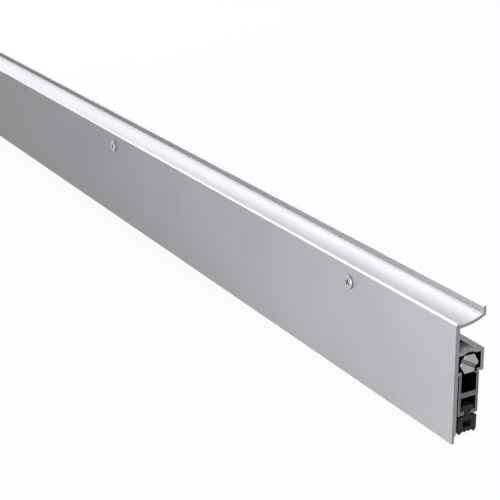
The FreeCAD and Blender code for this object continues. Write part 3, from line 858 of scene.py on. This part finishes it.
def fixing_screw(name, x):
    """A pan head wood screw: crowned head with a cross recess, plain shank, thread and point."""
    level = (screws_low.z + screws_high.z) / 2
    seat = housing_low.y
    middle = (x, seat, level)
    bpy.ops.object.select_all(action="DESELECT")
    bpy.ops.mesh.primitive_cylinder_add(
        vertices=HEAD_SIDES,
        radius=HEAD_RADIUS,
        depth=HEAD_HEIGHT,
        location=(x, seat - HEAD_HEIGHT / 2, level),
        rotation=(math.pi / 2, 0, 0),
    )
    screw = bpy.context.object
    screw.name = name
    place_in_mesh(screw)
    select_faces(screw, lambda face: face.normal.y < -LOOKS_ALONG)
    edit(screw)
    bpy.ops.mesh.bevel(offset=HEAD_CROWN, segments=CROWN_STEPS, affect="EDGES", profile=0.5)
    leave_edit()
    select_faces(screw, lambda face: face.normal.y > LOOKS_ALONG)
    edit(screw)
    bpy.ops.mesh.inset(thickness=HEAD_RADIUS - SHANK_RADIUS)
    draw_out(-seat)
    draw_out(NECK_LENGTH, CORE_RADIUS / SHANK_RADIUS, middle)
    draw_out(screws_high.y - POINT_LENGTH - NECK_LENGTH)
    draw_out(POINT_LENGTH, POINT_SHARE, middle)
    bpy.ops.mesh.select_all(action="SELECT")
    bpy.ops.mesh.normals_make_consistent(inside=False)
    leave_edit()
    screw.data.materials.append(zinc)
    screw.data.materials.append(dull_zinc_painted_shade)
    # Painted shade: the rims of the heads take the darker zinc
    for face in screw.data.polygons:
        on_rim = abs(face.normal.y) < LOOKS_ACROSS and face.center.y < seat
        face.material_index = 1 if on_rim else 0
    for turn in (CROSS_TURN, CROSS_TURN + math.pi / 2):
        cut_away(screw, cross_cutter((x, screws_low.y, level), turn))
    screw = join([screw, screw_thread(name + "_thread", x, level)], name)
    smooth(screw)
    return screw


def fixing_screws():
    """One screw modelled at the first hole, with copies at the others."""
    first = screws_low.x + HEAD_RADIUS
    spacing = (screws_high.x - HEAD_RADIUS - first) / (SCREW_COUNT - 1)
    screw = fixing_screw("fixing_screw_1", first)
    for i in range(1, SCREW_COUNT):
        pick(screw)
        bpy.ops.object.duplicate(linked=False)
        again = bpy.context.object
        again.name = "fixing_screw_%d" % (i + 1)
        again.location.x = spacing * i
        place_in_mesh(again)
        stand_for(again, "fixing_screws")
    stand_for(screw, "fixing_screws")


# Adjusting screw


def slotted_hexagon(hex_back):
    """The head: a hexagon with a broken rim and a slot; its flanks and the slot's floor are painted darker, as
    painted shade.
    """
    bpy.ops.object.select_all(action="DESELECT")
    bpy.ops.mesh.primitive_cylinder_add(
        vertices=6,
        radius=HEX_ACROSS / math.sqrt(3),
        depth=HEX_LENGTH,
        location=((adjuster_high.x + hex_back) / 2, mid_y, 0),
        rotation=(0, math.pi / 2, 0),
    )
    head = bpy.context.object
    place_in_mesh(head)
    select_faces(head, lambda face: face.normal.x > LOOKS_ALONG)
    edit(head)
    bpy.ops.mesh.bevel(offset=HEX_RIM, segments=EDGE_STEPS, affect="EDGES", profile=0.5)
    leave_edit()
    bpy.ops.object.select_all(action="DESELECT")
    bpy.ops.mesh.primitive_cube_add(size=1.0)
    cutter = bpy.context.object
    cutter.dimensions = (2 * SLOT_DEPTH, 2 * HEX_ACROSS, SLOT_WIDTH)
    cutter.rotation_euler = (SLOT_TURN, 0, 0)
    cutter.location = (adjuster_high.x, mid_y, 0)
    place_in_mesh(cutter)
    cut_away(head, cutter)
    break_edges(head, HEX_EDGE)
    # Painted shade: the slot's floor takes the darker grey steel
    slot_floor = adjuster_high.x - SLOT_DEPTH
    for material in (bright_steel, slot_floor_steel_painted_shade, flank_steel_painted_shade):
        head.data.materials.append(material)
    # Painted shade: the hexagon's flanks take the near-black steel
    for face in head.data.polygons:
        in_slot = abs(face.center.x - slot_floor) < SLOT_FLOOR_SPARE
        on_flank = abs(face.normal.x) < FLANK_LIMIT and face.center.x < slot_floor
        face.material_index = 1 if in_slot else 2 if on_flank else 0
    return head


def adjusting_screw():
    """A slotted hexagon on a threaded shank."""
    hex_back = adjuster_high.x - HEX_LENGTH
    head = slotted_hexagon(hex_back)
    shank_end = hex_back + ADJUSTER_LAP
    bpy.ops.object.select_all(action="DESELECT")
    bpy.ops.mesh.primitive_cylinder_add(
        vertices=ADJUSTER_SIDES,
        radius=ADJUSTER_CORE,
        depth=shank_end - adjuster_low.x,
        location=((adjuster_low.x + shank_end) / 2, mid_y, 0),
        rotation=(0, math.pi / 2, 0),
    )
    shank = bpy.context.object
    place_in_mesh(shank)
    break_edges(shank, ADJUSTER_EDGE)
    ridge = thread_ridge(
        "adjuster_thread",
        "X",
        (adjuster_low.x + ADJUSTER_PITCH, mid_y, 0),
        hex_back - adjuster_low.x - 2 * ADJUSTER_PITCH,
        ADJUSTER_PITCH,
        ADJUSTER_CORE,
        ADJUSTER_RADIUS,
        ADJUSTER_THREAD_STEPS,
    )
    paint(shank, bright_steel)
    paint(ridge, bright_steel)
    screw = join([head, shank, ridge], "adjusting_screw_finished")
    smooth(screw)
    stand_for(screw, "adjusting_screw")


# Leaf springs


def bow_height(away, level, sag):
    """Height of a bowed strip at a distance from its middle: flat, two tangent arcs, flat."""
    bend = (LEAF_SPAN**2 + sag**2) / (4 * sag)
    run = away - LEAF_SEAT / 2
    if run <= 0:
        return level - sag
    if run >= LEAF_SPAN:
        return level
    if run <= LEAF_SPAN / 2:
        return level - sag + bend - math.sqrt(bend**2 - run**2)
    return level - bend + math.sqrt(bend**2 - (LEAF_SPAN - run) ** 2)


def half_leaf(name, node, end_x, centre_x):
    """Half of a leaf spring, from the middle of its seat to one end."""
    low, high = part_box(node)
    level = high.z - LEAF_THICK / 2
    sag = level - (low.z + LEAF_THICK / 2)
    bpy.ops.object.select_all(action="DESELECT")
    bpy.ops.mesh.primitive_grid_add(
        x_subdivisions=LEAF_STEPS,
        y_subdivisions=LEAF_ROWS,
        size=1.0,
        location=((end_x + centre_x) / 2, (low.y + high.y) / 2, level),
    )
    strip = bpy.context.object
    strip.name = name
    strip.scale = (abs(end_x - centre_x), high.y - low.y, 1.0)
    place_in_mesh(strip)
    for vertex in strip.data.vertices:
        vertex.co.z = bow_height(abs(vertex.co.x - centre_x), level, sag)
    apply_modifier(strip, "SOLIDIFY", thickness=LEAF_THICK, offset=0.0)
    break_edges(strip, LEAF_EDGE)
    smooth(strip)
    paint(strip, blued_spring)
    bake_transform(strip)
    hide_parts(node)


def leaf_springs():
    """Two springs in halves; the slider ends leave room for the rod's travel."""
    for node in ("leaf_spring_near", "leaf_spring_far"):
        low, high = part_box(node)
        centre_x = (low.x + high.x) / 2
        half_leaf(node + "_anchor_half", node, low.x, centre_x)
        half_leaf(node + "_slider_half", node, high.x - rod_travel - LEAF_CLEARANCE, centre_x)


# Floor, light and camera


def pale_floor():
    """White floor that keeps a faint shadow: mostly plain white to the eye, all white in reflections."""
    material, tree = new_tree("white_floor")
    matt = add_node(tree, "ShaderNodeBsdfDiffuse", {"Color": linear("#D2D2D2")})
    glow = add_node(tree, "ShaderNodeEmission", {"Color": linear("#FFFFFF"), "Strength": 1.0})
    ray = add_node(tree, "ShaderNodeLightPath").outputs
    seen = add_node(
        tree, "ShaderNodeMath", {0: ray["Is Camera Ray"], 1: FLOOR_WHITE}, operation="MULTIPLY"
    )
    mirrored = add_node(
        tree,
        "ShaderNodeMath",
        {0: ray["Is Glossy Ray"], 1: ray["Is Transmission Ray"]},
        operation="MAXIMUM",
    )
    share = add_node(tree, "ShaderNodeMath", {0: seen, 1: mirrored}, operation="MAXIMUM")
    mixed = add_node(tree, "ShaderNodeMixShader", {0: share, 1: matt, 2: glow})
    add_node(tree, "ShaderNodeOutputMaterial", {"Surface": mixed})
    bpy.ops.object.select_all(action="DESELECT")
    bpy.ops.mesh.primitive_plane_add(
        size=FLOOR_SIZE, location=(0, 0, seal_low.z - bar_drop - FLOOR_GAP)
    )
    floor = bpy.context.object
    floor.name = "floor"
    paint(floor, material)


def softbox(name, place, aim, width, height, radiance):
    """A rectangular lamp that faces a point; its power follows from how bright it looks."""
    data = bpy.data.lights.new(name, "AREA")
    data.shape = "RECTANGLE"
    data.size = width
    data.size_y = height
    data.energy = radiance * math.pi * width * height
    lamp = bpy.data.objects.new(name, data)
    bpy.context.scene.collection.objects.link(lamp)
    lamp.location = place
    lamp.visible_camera = False
    lamp.rotation_euler = (aim - place).to_track_quat("-Z", "Y").to_euler()


def studio_light():
    """A world that lights from behind, but looks plain white to the eye and in reflections, with two
    softboxes."""
    world = bpy.data.worlds.new("studio")
    world.use_nodes = True
    tree = world.node_tree
    tree.nodes.clear()
    direction = add_node(tree, "ShaderNodeTexCoord").outputs["Generated"]
    axes = add_node(tree, "ShaderNodeSeparateXYZ", {0: direction})
    level = add_node(
        tree,
        "ShaderNodeMapRange",
        {
            "Value": axes.outputs["Y"],
            "From Min": FRONT_LIMIT,
            "From Max": BACK_LIMIT,
            "To Min": FRONT_LIGHT,
        },
    )
    ray = add_node(tree, "ShaderNodeLightPath").outputs
    for kind in ("Is Camera Ray", "Is Glossy Ray", "Is Transmission Ray"):
        level = add_node(tree, "ShaderNodeMath", {0: level, 1: ray[kind]}, operation="MAXIMUM")
    shade = add_node(tree, "ShaderNodeBackground", {"Color": linear("#FFFFFF"), "Strength": level})
    add_node(tree, "ShaderNodeOutputWorld", {"Surface": shade})
    bpy.context.scene.world = world
    softbox("left_softbox", **LEFT_SOFTBOX)
    softbox("key_softbox", **KEY_SOFTBOX)


def camera():
    data = bpy.data.cameras.new("camera")
    data.lens = CAMERA_LENS
    data.sensor_width = CAMERA_SENSOR
    data.clip_start = CAMERA_NEAR
    data.clip_end = CAMERA_FAR
    eye = bpy.data.objects.new("camera", data)
    bpy.context.scene.collection.objects.link(eye)
    turn = CAMERA_AIM.to_track_quat("-Z", "Y").to_matrix().to_4x4()
    eye.matrix_world = Matrix.Translation(CAMERA_PLACE) @ turn @ Matrix.Rotation(CAMERA_ROLL, 4, "Z")
    bpy.context.scene.camera = eye


finish_frame_pieces()
fixing_screws()
adjusting_screw()
leaf_springs()
pale_floor()
studio_light()
camera()
bpy.context.scene.view_settings.view_transform = "Standard"
